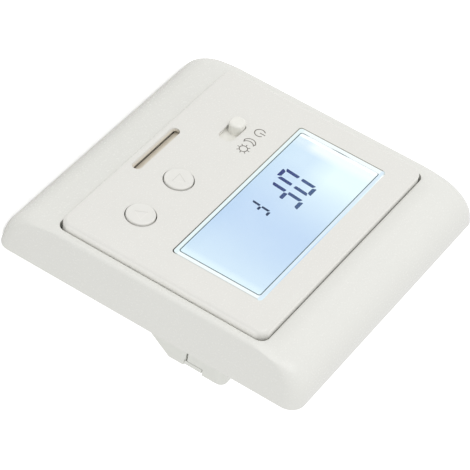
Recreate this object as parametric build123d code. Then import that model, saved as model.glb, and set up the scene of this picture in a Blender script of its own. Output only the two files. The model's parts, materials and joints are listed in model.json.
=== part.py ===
from build123d import *
import os
from math import acos, atan, atan2, cos, hypot, radians, sin, sqrt

# A flush-mounted room thermostat as an assembly of separate pieces, in millimetres.
# Each piece is drawn lying face up: x to the right, y up the wall, z out of the wall, with the wall at z = 0.
# The last lines stand the pieces up, so that the front looks along -Y and +Z points up the wall.

# Clear display and the panel around it
DISPLAY_WIDTH = 57.8
DISPLAY_HEIGHT = 25.2
DISPLAY_CORNER_R = 0.8
DISPLAY_LEFT_MARGIN = 7.25
DISPLAY_RIGHT_MARGIN = 8.8
DISPLAY_TOP_MARGIN = 6.7
KEY_FIELD_HEIGHT = 26.3
PANEL_CORNER_R = 3.0
PANEL_EDGE_R = 1.1
PANEL_WALL = 2.0
PANEL_SKIRT = 1.6
PANEL_PROUD = 2.05
PANEL_GAP = 0.35
OPENING_CORNER_R = 2.4

# Domed frame
SIDE_BAND = 4.95
FRAME_WALL = 2.0
FRAME_CORNER_R = 4.0
RIM_LAND = 0.35
SIDE_LEAN = 0.295
SIDE_SHOULDER_R = 1.1
END_LEAN = 0.09
END_SHOULDER_R = 8.0
END_SHOULDER_Z = 1.5
COLLAR_WALL = 1.4
LUG_LENGTH = 12.0
LUG_HEIGHT = 0.9
LUG_BITE = 0.6

# Display stack, from the mounting plate to the panel
PLATE_THICKNESS = 2.2
BACK_ROOM = 1.75
BOARD_THICKNESS = 1.2
GUIDE_THICKNESS = 2.4
GLASS_THICKNESS = 1.1
HOLDER_LIP = 0.6
HOLDER_WALL = 0.9
WINDOW_GAP = 0.2
WINDOW_FACE = 1.2
WINDOW_FLANGE = 1.5
WINDOW_FIT = 0.2
GLASS_OVERLAP = 0.45
GLASS_FIT = 0.2
CONTACT_LEDGE = 2.6
STRIP_WIDTH = 1.9
LED_SIZE = (0.8, 3.0, 1.4)
LED_PITCH = 8.0
LED_COUNT = 3
LED_FIT = 0.1

# Keys
KEY_DIAMETER = 7.3
KEY_GAP = 0.3
KEY_PROUD = 0.55
KEY_EDGE_R = 0.35
KEY_TRAVEL = 0.5
KEY_FLANGE = 0.8
KEY_FLANGE_REACH = 1.5
KEY_FLANGE_SIDE = 0.8
KEY_PITCH = 16.2
KEY_ROW_FROM_EDGE = 13.9
DOWN_KEY_FROM_EDGE = 14.1
KEY_RIB = 0.9
KEY_RIB_GAP = 0.3
TACT_SIDE = 6.0
TACT_HEIGHT = 3.4
PLUNGER_R = 1.75
PLUNGER_FIT = 0.08
PLUNGER_HOLD = 1.1

# Slide switch
SLIDER_TRAVEL = 4.0
KNOB_WIDTH = 4.2
KNOB_HEIGHT = 3.9
KNOB_PROUD = 1.8
KNOB_CORNER_R = 1.7
KNOB_EDGE_R = 0.65
KNOB_FIT = 0.18
SLIDER_FROM_EDGE = 19.9
SLIDER_ROW_FROM_EDGE = 14.1
SLOT_WALL = 1.2
SKIRT_THICKNESS = 0.7
SKIRT_LAP = 1.0
SKIRT_SIDE_LAP = 0.9
SKIRT_FIT = 0.05
SKIRT_SIDE_FIT = 0.25
FORK_PRONG = 0.9
FORK_DEPTH = 1.6
FORK_FIT = 0.1
LEVER_SIDE = 1.5
SWITCH_LENGTH = 9.6
SWITCH_WIDTH = 4.2
SWITCH_HEIGHT = 3.6
SWITCH_WALL = 0.4

# Release catch
CATCH_SLOT_LENGTH = 18.9
CATCH_SLOT_WIDTH = 2.1
CATCH_BEVEL = 0.55
CATCH_X = 1.7
CATCH_FROM_EDGE = 3.6
CATCH_WALL = 0.85
CATCH_SINK = 0.65
CATCH_SHOW_GAP = 0.15
CATCH_TRAVEL = 1.0
CATCH_PLATE = 1.05
CATCH_PLATE_LAP = 0.1
CATCH_FIT = 0.1
CATCH_SIDE_FIT = 0.3
CATCH_LEG_WIDTH = 8.0
CATCH_LEG = 1.4
CATCH_LEG_INSET = 1.1
HOOK_BITE = 0.7
HOOK_HEIGHT = 0.9
LEDGE = 0.8
RAIL = 1.3
RAIL_FOOT = 0.75

# Display board and its fixings
BOARD_FIT = 0.4
POST_R = 1.9
POST_INSET = 0.1
POST_DROP = 1.2
BOARD_SCREW_R = 0.95
BOARD_SCREW_BITE = 4.0
SCREW_FIT = 0.05
BOARD_SCREW_HEAD_R = 1.9
BOARD_SCREW_HEAD = 1.3
CHIP_SIDE = 10.0
CHIP_HEIGHT = 1.3
SENSOR_R = 1.1
SENSOR_LENGTH = 3.2

# Wall fixing
WALL_SCREW_SPACING = 60.0
WALL_SLOT_WIDTH = 4.2
WALL_SLOT_LENGTH = 7.0
WALL_SCREW_HEAD_ROOM = 5.2
PLATE_FIT = 0.3
PLATE_WINDOW_RIM = 4.2

# Rear housing
HOUSING_WIDTH = 50.0
HOUSING_TOP = 15.0
HOUSING_BOTTOM = 25.0
HOUSING_DEPTH = 25.8
HOUSING_WALL = 1.8
HOUSING_CORNER_R = 2.0
SLOPE_START = 1.0
SLOPE_END = 12.5
BAY_DEPTH = 17.0
COLUMN_R = 2.3
COLUMN_LENGTH = 12.0
HOUSING_SCREW_R = 1.2
HOUSING_SCREW_BITE = 4.2
SCREW_TIP_ROOM = 0.4
HOUSING_SCREW_HEAD_R = 2.2
HOUSING_SCREW_HEAD = 1.5
HEAD_FIT = 0.3
HEAD_SINK = 1.2
COVER_RECESS = 0.6
COVER_THICKNESS = 1.2
COVER_FIT = 0.2
TAB_WIDTH = 5.0
TAB_CENTRE = 6.1
TAB_GAP = 0.2
TONGUE_INSET = 0.4
TONGUE_SLIT = 0.5
TONGUE_LENGTH = 3.2
SUPPORT_RIB = 2.0

# Power board
POWER_BOARD_DROP = 3.0
POWER_BOARD_THICKNESS = 1.6
POWER_BOARD_FIT = 0.3
PRESS_PAD = (16.0, 2.0)
HEADER_BASE = 2.5
HEADER_PINS = 8
HEADER_PITCH = 2.54
HEADER_WIDTH = 2.5
PIN_SIDE = 0.64
PIN_REACH = 3.0
HEADER_Y = -9.0
RELAY_SIZE = (29.0, 12.7, 15.7)
RELAY_CENTRE = (-3.0, 4.6)
FILM_CAPACITOR_SIZE = (18.0, 7.5, 10.5)
FILM_CAPACITOR_CENTRE = (-11.0, -6.0)
CAN_R = 4.0
CAN_HEIGHT = 10.0
CAN_CENTRE = (5.0, -5.8)
VARISTOR_R = 4.5
VARISTOR_THICKNESS = 4.0
VARISTOR_CENTRE = (15.0, -7.5)
FUSE_R = 4.1
FUSE_HEIGHT = 7.6
FUSE_CENTRE = (17.0, 3.0)

# Screw terminals
TERMINAL_COUNT = 6
TERMINAL_PITCH = 7.0
TERMINAL_HEIGHT = 11.0
TERMINAL_DEPTH = 12.0
TERMINAL_FIT = 0.3
TERMINAL_WALL = 1.2
CLAMP_WIDTH = 5.0
CLAMP_DEPTH = 5.4
CLAMP_LENGTH = 6.5
CLAMP_WALL = 0.7
CLAMP_FIT = 0.1
WIRE_ENTRY = (3.6, 3.8)
TERMINAL_SCREW_R = 1.3
TERMINAL_SCREW_HEAD_R = 1.9
TERMINAL_SCREW_HEAD = 1.6
TERMINAL_SCREW_SINK = 0.8

# Sizes that follow from those above
PANEL_WIDTH = DISPLAY_LEFT_MARGIN + DISPLAY_WIDTH + DISPLAY_RIGHT_MARGIN
PANEL_X = (DISPLAY_RIGHT_MARGIN - DISPLAY_LEFT_MARGIN) / 2
PANEL_HEIGHT = DISPLAY_TOP_MARGIN + DISPLAY_HEIGHT + KEY_FIELD_HEIGHT
DISPLAY_Y = PANEL_HEIGHT / 2 - DISPLAY_TOP_MARGIN - DISPLAY_HEIGHT / 2
OPENING_WIDTH = PANEL_WIDTH + 2 * PANEL_GAP
OPENING_HEIGHT = PANEL_HEIGHT + 2 * PANEL_GAP
FRAME_HALF = PANEL_X + OPENING_WIDTH / 2 + SIDE_BAND

BOARD_BACK = PLATE_THICKNESS + BACK_ROOM
BOARD_FRONT = BOARD_BACK + BOARD_THICKNESS
REAR_GLASS_BACK = BOARD_FRONT + GUIDE_THICKNESS
FRONT_GLASS_BACK = REAR_GLASS_BACK + GLASS_THICKNESS
GLASS_FACE = FRONT_GLASS_BACK + GLASS_THICKNESS
HOLDER_FACE = GLASS_FACE + HOLDER_LIP
PANEL_INSIDE = HOLDER_FACE + WINDOW_GAP
PANEL_FACE = PANEL_INSIDE + PANEL_WALL
FRAME_HEIGHT = PANEL_FACE - PANEL_PROUD

INNER_WIDTH = PANEL_WIDTH - 2 * PANEL_SKIRT
INNER_HEIGHT = PANEL_HEIGHT - 2 * PANEL_SKIRT
PANEL_BOTTOM_EDGE = -PANEL_HEIGHT / 2
GLASS_WIDTH = DISPLAY_WIDTH + 2 * GLASS_OVERLAP
REAR_GLASS_HEIGHT = DISPLAY_HEIGHT + 2 * GLASS_OVERLAP
FRONT_GLASS_HEIGHT = REAR_GLASS_HEIGHT + CONTACT_LEDGE
FRONT_GLASS_Y = DISPLAY_Y - CONTACT_LEDGE / 2
STRIP_Y = DISPLAY_Y - REAR_GLASS_HEIGHT / 2 - CONTACT_LEDGE / 2

KEY_Y = PANEL_BOTTOM_EDGE + KEY_ROW_FROM_EDGE
DOWN_KEY_X = PANEL_X + PANEL_WIDTH / 2 - DOWN_KEY_FROM_EDGE
UP_KEY_X = DOWN_KEY_X - KEY_PITCH
KEY_UNDERSIDE = PANEL_INSIDE - KEY_FLANGE
TACT_FACE = BOARD_FRONT + TACT_HEIGHT

SLIDER_MIDDLE_X = PANEL_X - PANEL_WIDTH / 2 + SLIDER_FROM_EDGE
SLIDER_Y = PANEL_BOTTOM_EDGE + SLIDER_ROW_FROM_EDGE
KNOB_X = SLIDER_MIDDLE_X - SLIDER_TRAVEL / 2
SKIRT_ROOF = PANEL_FACE - SLOT_WALL
SKIRT_TOP = SKIRT_ROOF - SKIRT_FIT
SKIRT_BOTTOM = SKIRT_TOP - SKIRT_THICKNESS
SKIRT_LENGTH = KNOB_WIDTH + 2 * (SLIDER_TRAVEL + SKIRT_LAP)
SKIRT_HEIGHT = KNOB_HEIGHT + 2 * SKIRT_SIDE_LAP
SWITCH_FACE = BOARD_FRONT + SWITCH_HEIGHT

CATCH_Y = PANEL_BOTTOM_EDGE + CATCH_FROM_EDGE
CATCH_ROOF = PANEL_FACE - CATCH_WALL
CATCH_TOP = CATCH_ROOF - CATCH_SINK
CATCH_BOTTOM = CATCH_TOP - CATCH_PLATE
CATCH_PLATE_LENGTH = CATCH_SLOT_LENGTH + 2 * CATCH_PLATE_LAP
CATCH_LOW_EDGE = CATCH_Y - CATCH_SLOT_WIDTH / 2 + CATCH_SHOW_GAP
CATCH_STRIP_LOW = CATCH_Y + CATCH_SLOT_WIDTH / 2 + CATCH_SIDE_FIT
CATCH_HIGH_EDGE = CATCH_STRIP_LOW + CATCH_TRAVEL
CATCH_POCKET_LOW = CATCH_LOW_EDGE - CATCH_SIDE_FIT - CATCH_SHOW_GAP
CATCH_POCKET_HIGH = CATCH_HIGH_EDGE + CATCH_TRAVEL + CATCH_SIDE_FIT
LEG_LOW = CATCH_LOW_EDGE + CATCH_LEG_INSET
LEG_HIGH = LEG_LOW + CATCH_LEG
HOOK_TOP = PLATE_THICKNESS - LEDGE - CATCH_FIT
HOOK_BOTTOM = HOOK_TOP - HOOK_HEIGHT

POST_X = INNER_WIDTH / 2 - POST_R - POST_INSET
POST_Y = INNER_HEIGHT / 2 - POST_R - POST_DROP
POSTS = [(PANEL_X + sx * POST_X, sy * POST_Y) for sx in (-1, 1) for sy in (-1, 1)]

PLATE_SIDE = 2 * (FRAME_HALF - SIDE_LEAN * PLATE_THICKNESS - FRAME_WALL - PLATE_FIT)
HOUSING_MIDDLE_Y = (HOUSING_TOP - HOUSING_BOTTOM) / 2
HOUSING_HEIGHT = HOUSING_TOP + HOUSING_BOTTOM
HOUSING_INNER_WIDTH = HOUSING_WIDTH - 2 * HOUSING_WALL
HOUSING_INNER_HEIGHT = HOUSING_HEIGHT - 2 * HOUSING_WALL
COLUMN_X = HOUSING_INNER_WIDTH / 2 - COLUMN_R
COLUMN_DY = HOUSING_INNER_HEIGHT / 2 - COLUMN_R
COLUMNS = [(sx * COLUMN_X, HOUSING_MIDDLE_Y + sy * COLUMN_DY) for sx in (-1, 1) for sy in (-1, 1)]
POWER_BOARD_FRONT = -POWER_BOARD_DROP
POWER_BOARD_BACK = POWER_BOARD_FRONT - POWER_BOARD_THICKNESS
BAY_FLOOR_BACK = POWER_BOARD_BACK - HOUSING_WALL
COVER_BACK = -HOUSING_DEPTH + COVER_RECESS
COVER_FRONT = COVER_BACK + COVER_THICKNESS
HEADER_FACE = POWER_BOARD_FRONT + HEADER_BASE
TERMINAL_Y = -(HOUSING_BOTTOM + SLOPE_END) / 2
TERMINAL_WIDTH = TERMINAL_COUNT * TERMINAL_PITCH
TERMINAL_BACK = POWER_BOARD_BACK - TERMINAL_DEPTH
TERMINAL_LOW = TERMINAL_Y - TERMINAL_HEIGHT / 2
TERMINAL_XS = [(i - (TERMINAL_COUNT - 1) / 2) * TERMINAL_PITCH for i in range(TERMINAL_COUNT)]
CLAMP_Z = (POWER_BOARD_BACK + TERMINAL_BACK) / 2 + TERMINAL_WALL / 2
CLAMP_Y = TERMINAL_LOW + TERMINAL_WALL + CLAMP_FIT + CLAMP_LENGTH / 2


def slab(width, height, low, high, radius=0.0, at=(0.0, 0.0)):
    """A plate with rounded corners between two levels."""
    outline = RectangleRounded(width, height, radius) if radius else Rectangle(width, height)
    return Pos(at[0], at[1], low) * extrude(outline, high - low)


def block(x0, x1, y0, y1, z0, z1):
    """A plain block between two corners."""
    return slab(x1 - x0, y1 - y0, z0, z1, at=((x0 + x1) / 2, (y0 + y1) / 2))


def disc(radius, low, high, at=(0.0, 0.0)):
    """A round bar along z between two levels."""
    return Pos(at[0], at[1], low) * extrude(Circle(radius), high - low)


def pill(length, width, low, high, at=(0.0, 0.0)):
    """A bar with round ends, its length along x."""
    return Pos(at[0], at[1], low) * extrude(SlotOverall(length, width), high - low)


def group(solids):
    """Separate solids kept together in one piece of the assembly."""
    return Compound(children=list(solids))


# The dome of the frame


def end_arc():
    """Centre of the shoulder on the upper and lower sides, and the angle where its top slope starts."""
    centre = FRAME_HALF - END_LEAN * END_SHOULDER_Z - END_SHOULDER_R
    rim = OPENING_HEIGHT / 2 + RIM_LAND
    across, up = rim - centre, FRAME_HEIGHT - END_SHOULDER_Z
    return centre, atan2(up, across) - acos(END_SHOULDER_R / hypot(across, up))


def end_half(z):
    """Half height of the frame at level z: a steep wall, a round shoulder and a gentle slope to the rim."""
    centre, top_angle = end_arc()
    slope_z = END_SHOULDER_Z + END_SHOULDER_R * sin(top_angle)
    slope_y = centre + END_SHOULDER_R * cos(top_angle)
    rim = OPENING_HEIGHT / 2 + RIM_LAND
    if z <= END_SHOULDER_Z:
        return FRAME_HALF - END_LEAN * z
    if z <= slope_z:
        return centre + sqrt(END_SHOULDER_R**2 - (z - END_SHOULDER_Z) ** 2)
    return slope_y + (rim - slope_y) * (z - slope_z) / (FRAME_HEIGHT - slope_z)


def side_half(z):
    """Half width of the frame at level z: a leaning cheek and a tight shoulder up to the rim."""
    centre_z = FRAME_HEIGHT - SIDE_SHOULDER_R
    centre = FRAME_HALF - SIDE_LEAN * centre_z - SIDE_SHOULDER_R * sqrt(1 + SIDE_LEAN**2)
    start_z = centre_z + SIDE_SHOULDER_R * sin(atan(SIDE_LEAN))
    if z <= start_z:
        return FRAME_HALF - SIDE_LEAN * z
    return centre + sqrt(max(SIDE_SHOULDER_R**2 - (z - centre_z) ** 2, 0.0))


def dome():
    """Solid of the frame's outside, in three lofts: the foot, the round shoulder and the slope to the rim."""
    top_angle = end_arc()[1]
    shoulder = [END_SHOULDER_Z + END_SHOULDER_R * sin(top_angle * i / 5) for i in range(6)]
    centre = FRAME_HEIGHT - SIDE_SHOULDER_R
    slope = [shoulder[-1]]
    slope += [centre + SIDE_SHOULDER_R * sin(radians(angle)) for angle in (22, 36, 50, 64, 77, 90)]
    return dome_part([0.0, shoulder[0]], True) + dome_part(shoulder, False) + dome_part(slope, True)


def dome_part(levels, ruled):
    sections = [
        Pos(0, 0, z) * RectangleRounded(2 * side_half(z), 2 * end_half(z), FRAME_CORNER_R)
        for z in levels
    ]
    return loft(sections, ruled=ruled)


def outer_frame():
    """Domed shell with a collar round the panel opening and snap lugs that hold the mounting plate."""
    hollow_top = FRAME_HEIGHT - FRAME_WALL
    hollow = loft(
        [
            Pos(0, 0, z)
            * Rectangle(
                2 * min(side_half(z) - FRAME_WALL, side_half(z + FRAME_WALL)),
                2 * min(end_half(z) - FRAME_WALL, end_half(z + FRAME_WALL)),
            )
            for z in (0.0, hollow_top / 2, hollow_top * 0.8, hollow_top)
        ],
        ruled=True,
    )
    here = (PANEL_X, 0.0)
    collar = slab(
        OPENING_WIDTH + 2 * COLLAR_WALL,
        OPENING_HEIGHT + 2 * COLLAR_WALL,
        PLATE_THICKNESS,
        hollow_top + FRAME_WALL / 2,
        OPENING_CORNER_R + COLLAR_WALL,
        here,
    )
    opening = slab(OPENING_WIDTH, OPENING_HEIGHT, 0, FRAME_HEIGHT, OPENING_CORNER_R, here)
    outside = dome()
    frame = outside - hollow + (collar & outside) - opening
    wall_x = FRAME_HALF - FRAME_WALL
    lug_x = PLATE_SIDE / 2 - LUG_BITE
    lug = block(lug_x, wall_x + FRAME_WALL / 2, -LUG_LENGTH / 2, LUG_LENGTH / 2, 0, LUG_HEIGHT)
    for turn in (0, 90, 180, 270):
        frame += Rot(0, 0, turn) * lug
    return frame


# The front panel and what moves in it


def key_places():
    return {"up": (UP_KEY_X, KEY_Y), "down": (DOWN_KEY_X, KEY_Y)}


def key_flange_size():
    return KEY_DIAMETER + 2 * KEY_FLANGE_REACH, KEY_DIAMETER + 2 * KEY_FLANGE_SIDE


def front_panel():
    """Raised cover: openings, screw posts, key ribs, catch rails and the two hooks at its upper edge."""
    here = (PANEL_X, 0.0)
    shell = slab(PANEL_WIDTH, PANEL_HEIGHT, PLATE_THICKNESS, PANEL_FACE, PANEL_CORNER_R, here)
    shell = fillet(shell.faces().sort_by(Axis.Z)[-1].edges(), PANEL_EDGE_R)
    inner_r = max(PANEL_CORNER_R - PANEL_SKIRT, 0.2)
    shell -= slab(INNER_WIDTH, INNER_HEIGHT, PLATE_THICKNESS, PANEL_INSIDE, inner_r, here)
    return shell + panel_inside() - panel_openings()


def panel_openings():
    """Everything that is cut through the panel or into its inner face."""
    here = (0.0, DISPLAY_Y)
    cuts = slab(DISPLAY_WIDTH, DISPLAY_HEIGHT, PANEL_INSIDE, PANEL_FACE, DISPLAY_CORNER_R, here)
    lap = 2 * (WINDOW_FLANGE + WINDOW_FIT)
    seat_top = PANEL_FACE - WINDOW_FACE
    cuts += slab(DISPLAY_WIDTH + lap, DISPLAY_HEIGHT + lap, PANEL_INSIDE, seat_top, at=here)
    for place in key_places().values():
        cuts += disc(KEY_DIAMETER / 2 + KEY_GAP, PANEL_INSIDE, PANEL_FACE, place)
    middle = (SLIDER_MIDDLE_X, SLIDER_Y)
    slot_length = KNOB_WIDTH + SLIDER_TRAVEL + 2 * KNOB_FIT
    slot_height = KNOB_HEIGHT + 2 * KNOB_FIT
    cuts += slab(slot_length, slot_height, PANEL_INSIDE, PANEL_FACE, KNOB_CORNER_R + KNOB_FIT, middle)
    track_length = SKIRT_LENGTH + SLIDER_TRAVEL + 2 * SKIRT_SIDE_FIT
    track_height = SKIRT_HEIGHT + 2 * SKIRT_SIDE_FIT
    cuts += slab(track_length, track_height, PANEL_INSIDE, SKIRT_ROOF, at=middle)
    cuts += catch_slot()
    half = CATCH_PLATE_LENGTH / 2 + CATCH_SIDE_FIT
    pocket = (CATCH_X - half, CATCH_X + half, CATCH_POCKET_LOW, CATCH_POCKET_HIGH)
    cuts += block(*pocket, PANEL_INSIDE, CATCH_ROOF)
    return cuts


def catch_slot():
    """Slot for a screwdriver, whose lower wall slants to lead the blade onto the catch."""
    mouth = SlotOverall(CATCH_SLOT_LENGTH, CATCH_SLOT_WIDTH + CATCH_BEVEL)
    throat = SlotOverall(CATCH_SLOT_LENGTH, CATCH_SLOT_WIDTH)
    high = Pos(CATCH_X, CATCH_Y - CATCH_BEVEL / 2, PANEL_FACE) * mouth
    return loft([Pos(CATCH_X, CATCH_Y, CATCH_ROOF) * throat, high], ruled=True)


def panel_inside():
    """Posts for the board, ribs that keep the keys from turning, rails under the catch and two hooks."""
    extra = []
    for place in POSTS:
        post = disc(POST_R, BOARD_FRONT, PANEL_INSIDE, place)
        bore_top = BOARD_FRONT + BOARD_SCREW_BITE + SCREW_TIP_ROOM
        extra.append(post - disc(BOARD_SCREW_R + SCREW_FIT, BOARD_FRONT, bore_top, place))
    flange_width, flange_height = key_flange_size()
    for x, y in key_places().values():
        for side in (-1, 1):
            inner = x + side * (flange_width / 2 + KEY_RIB_GAP)
            outer = inner + side * KEY_RIB
            rib_x = (min(inner, outer), max(inner, outer))
            rib_y = (y - flange_height / 2, y + flange_height / 2)
            extra.append(block(*rib_x, *rib_y, KEY_UNDERSIDE - KEY_TRAVEL / 2, PANEL_INSIDE))
    rail_low = CATCH_BOTTOM - CATCH_FIT - RAIL_FOOT
    half = CATCH_PLATE_LENGTH / 2
    for side in (-1, 1):
        wall = sorted(CATCH_X + side * (half + CATCH_SIDE_FIT + d) for d in (0, RAIL))
        foot = sorted(CATCH_X + side * (half + d) for d in (-RAIL, CATCH_SIDE_FIT + RAIL))
        extra.append(block(*wall, CATCH_POCKET_LOW, CATCH_POCKET_HIGH, rail_low, PANEL_INSIDE))
        extra.append(block(*foot, CATCH_POCKET_LOW, CATCH_POCKET_HIGH, rail_low, rail_low + RAIL_FOOT))
    for x in hook_xs():
        extra.append(top_hook(x))
    return extra


def hook_xs():
    return (-INNER_WIDTH / 4, INNER_WIDTH / 4)


def top_hook(x):
    """Fixed hook on the upper skirt that reaches through the mounting plate and under its edge."""
    outer_y = PANEL_HEIGHT / 2
    inner_y = outer_y - PANEL_SKIRT
    half = CATCH_LEG_WIDTH / 2
    stem = block(x - half, x + half, inner_y, outer_y, HOOK_BOTTOM, PLATE_THICKNESS)
    return stem + block(x - half, x + half, inner_y, outer_y + HOOK_BITE, HOOK_BOTTOM, HOOK_TOP)


def display_window():
    """Clear lens: a raised face in the opening and a flange behind it."""
    here = (0.0, DISPLAY_Y)
    face_width = DISPLAY_WIDTH - 2 * WINDOW_FIT
    face_height = DISPLAY_HEIGHT - 2 * WINDOW_FIT
    seat = PANEL_FACE - WINDOW_FACE
    flange = 2 * WINDOW_FLANGE
    corner_r = max(DISPLAY_CORNER_R - WINDOW_FIT, 0.0)
    lens = slab(face_width, face_height, PANEL_INSIDE, PANEL_FACE, corner_r, here)
    return lens + slab(DISPLAY_WIDTH + flange, DISPLAY_HEIGHT + flange, PANEL_INSIDE, seat, at=here)


def key_cap(place):
    """Round key with a flange behind the panel."""
    cap = disc(KEY_DIAMETER / 2, PANEL_INSIDE, PANEL_FACE + KEY_PROUD, place)
    cap = fillet(cap.faces().sort_by(Axis.Z)[-1].edges(), KEY_EDGE_R)
    width, height = key_flange_size()
    return cap + slab(width, height, KEY_UNDERSIDE, PANEL_INSIDE, 1.0, place)


def key_switch(place):
    """Body of the momentary switch under a key, with the bore its plunger runs in."""
    body = slab(TACT_SIDE, TACT_SIDE, BOARD_FRONT, TACT_FACE, at=place)
    body = chamfer(body.edges().filter_by(Axis.Z), 0.5)
    floor = TACT_FACE - PLUNGER_HOLD - KEY_TRAVEL - PLUNGER_FIT
    return body - disc(PLUNGER_R + PLUNGER_FIT, floor, TACT_FACE, place)


def key_plunger(place):
    """Plunger that the key pushes into its switch."""
    return disc(PLUNGER_R, TACT_FACE - PLUNGER_HOLD, KEY_UNDERSIDE, place)


def mode_slider():
    """Knob, the skirt that keeps the slot covered, and the fork that carries the switch lever."""
    here = (KNOB_X, SLIDER_Y)
    knob = slab(KNOB_WIDTH, KNOB_HEIGHT, SKIRT_TOP, PANEL_FACE + KNOB_PROUD, KNOB_CORNER_R, here)
    knob = fillet(knob.faces().sort_by(Axis.Z)[-1].edges(), KNOB_EDGE_R)
    knob += slab(SKIRT_LENGTH, SKIRT_HEIGHT, SKIRT_BOTTOM, SKIRT_TOP, at=here)
    inner = LEVER_SIDE / 2 + FORK_FIT
    ys = (SLIDER_Y - LEVER_SIDE, SLIDER_Y + LEVER_SIDE)
    for side in (-1, 1):
        xs = sorted(KNOB_X + side * d for d in (inner, inner + FORK_PRONG))
        knob += block(*xs, *ys, SKIRT_BOTTOM - FORK_DEPTH, SKIRT_BOTTOM)
    return knob


def slide_switch_shell():
    """Pressed metal can with a slot for the lever."""
    here = (SLIDER_MIDDLE_X, SLIDER_Y)
    can = slab(SWITCH_LENGTH, SWITCH_WIDTH, BOARD_FRONT, SWITCH_FACE, at=here)
    wall = 2 * SWITCH_WALL
    can -= slab(SWITCH_LENGTH - wall, SWITCH_WIDTH - wall, BOARD_FRONT, SWITCH_FACE - SWITCH_WALL, at=here)
    slot = LEVER_SIDE + 2 * FORK_FIT
    return can - slab(slot + SLIDER_TRAVEL, slot, BOARD_FRONT, SWITCH_FACE, at=here)


def slide_switch_lever():
    """Lever of the slide switch, standing on a foot inside the can."""
    here = (KNOB_X, SLIDER_Y)
    foot_top = SWITCH_FACE - SWITCH_WALL - FORK_FIT
    foot_height = SWITCH_WIDTH - 2 * (SWITCH_WALL + FORK_FIT)
    lever = slab(LEVER_SIDE, LEVER_SIDE, BOARD_FRONT, SKIRT_BOTTOM - FORK_FIT, at=here)
    return lever + slab(2 * LEVER_SIDE, foot_height, BOARD_FRONT + FORK_FIT, foot_top, at=here)


def cover_catch():
    """Release catch: a sunk plate, a strip that guides it, and a leg that hooks onto the mounting plate."""
    half = CATCH_PLATE_LENGTH / 2
    xs = (CATCH_X - half, CATCH_X + half)
    plate = block(*xs, CATCH_LOW_EDGE, CATCH_HIGH_EDGE, CATCH_BOTTOM, CATCH_TOP)
    plate += block(*xs, CATCH_STRIP_LOW, CATCH_HIGH_EDGE, CATCH_BOTTOM, CATCH_ROOF - CATCH_FIT)
    leg_x = (CATCH_X - CATCH_LEG_WIDTH / 2, CATCH_X + CATCH_LEG_WIDTH / 2)
    leg = block(*leg_x, LEG_LOW, LEG_HIGH, HOOK_BOTTOM, CATCH_BOTTOM)
    hook = block(*leg_x, LEG_LOW - CATCH_FIT - HOOK_BITE, LEG_LOW, HOOK_BOTTOM, HOOK_TOP)
    return plate + leg + hook


# The display and its board


def lcd_front_glass():
    here = (0.0, FRONT_GLASS_Y)
    return slab(GLASS_WIDTH, FRONT_GLASS_HEIGHT, FRONT_GLASS_BACK, GLASS_FACE, at=here)


def lcd_rear_glass():
    here = (0.0, DISPLAY_Y)
    return slab(GLASS_WIDTH, REAR_GLASS_HEIGHT, REAR_GLASS_BACK, FRONT_GLASS_BACK, at=here)


def backlight_guide():
    """Light guide behind the glass, with notches at its left end for the lamps."""
    here = (0.0, DISPLAY_Y)
    guide = slab(GLASS_WIDTH, REAR_GLASS_HEIGHT, BOARD_FRONT, REAR_GLASS_BACK, at=here)
    for y in led_ys():
        long, wide, high = [size + 2 * LED_FIT for size in LED_SIZE]
        left = -GLASS_WIDTH / 2
        guide -= block(left, left + long, y - wide / 2, y + wide / 2, BOARD_FRONT, BOARD_FRONT + high)
    return guide


def led_ys():
    return [DISPLAY_Y + (i - (LED_COUNT - 1) / 2) * LED_PITCH for i in range(LED_COUNT)]


def backlight_leds():
    """Side-firing lamps on the board at the left end of the light guide."""
    long, wide, high = LED_SIZE
    left = -GLASS_WIDTH / 2 + LED_FIT
    lamps = [
        block(left, left + long, y - wide / 2, y + wide / 2, BOARD_FRONT, BOARD_FRONT + high)
        for y in led_ys()
    ]
    return group(lamps)


def contact_strip():
    """Elastomer strip between the board and the contacts on the glass ledge."""
    here = (0.0, STRIP_Y)
    return slab(GLASS_WIDTH - 2 * HOLDER_WALL, STRIP_WIDTH, BOARD_FRONT, FRONT_GLASS_BACK, at=here)


def lcd_holder():
    """Frame that holds the glass and light guide on the board, with a lip in front of the glass."""
    fit = 2 * GLASS_FIT
    wall = 2 * HOLDER_WALL
    here = (0.0, FRONT_GLASS_Y)
    pocket = (GLASS_WIDTH + fit, FRONT_GLASS_HEIGHT + fit)
    body = slab(pocket[0] + wall, pocket[1] + wall, BOARD_FRONT, HOLDER_FACE, at=here)
    body -= slab(*pocket, BOARD_FRONT, GLASS_FACE, at=here)
    return body - slab(DISPLAY_WIDTH, DISPLAY_HEIGHT, GLASS_FACE, HOLDER_FACE, at=(0.0, DISPLAY_Y))


def display_board():
    """Front circuit board: screw holes, room for the wall screws' heads and a notch for the catch leg."""
    width = INNER_WIDTH - 2 * BOARD_FIT
    height = INNER_HEIGHT - 2 * BOARD_FIT
    board = slab(width, height, BOARD_BACK, BOARD_FRONT, 1.0, (PANEL_X, 0.0))
    for place in POSTS:
        board -= disc(BOARD_SCREW_R + SCREW_FIT, BOARD_BACK, BOARD_FRONT, place)
    for side in (-1, 1):
        head = (side * WALL_SCREW_SPACING / 2, 0.0)
        board -= disc(WALL_SCREW_HEAD_ROOM, BOARD_BACK, BOARD_FRONT, head)
    half = CATCH_LEG_WIDTH / 2 + CATCH_SIDE_FIT
    notch_top = LEG_HIGH + CATCH_TRAVEL + CATCH_SIDE_FIT
    notch = block(CATCH_X - half, CATCH_X + half, -height, notch_top, BOARD_BACK, BOARD_FRONT)
    return board - notch


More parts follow.
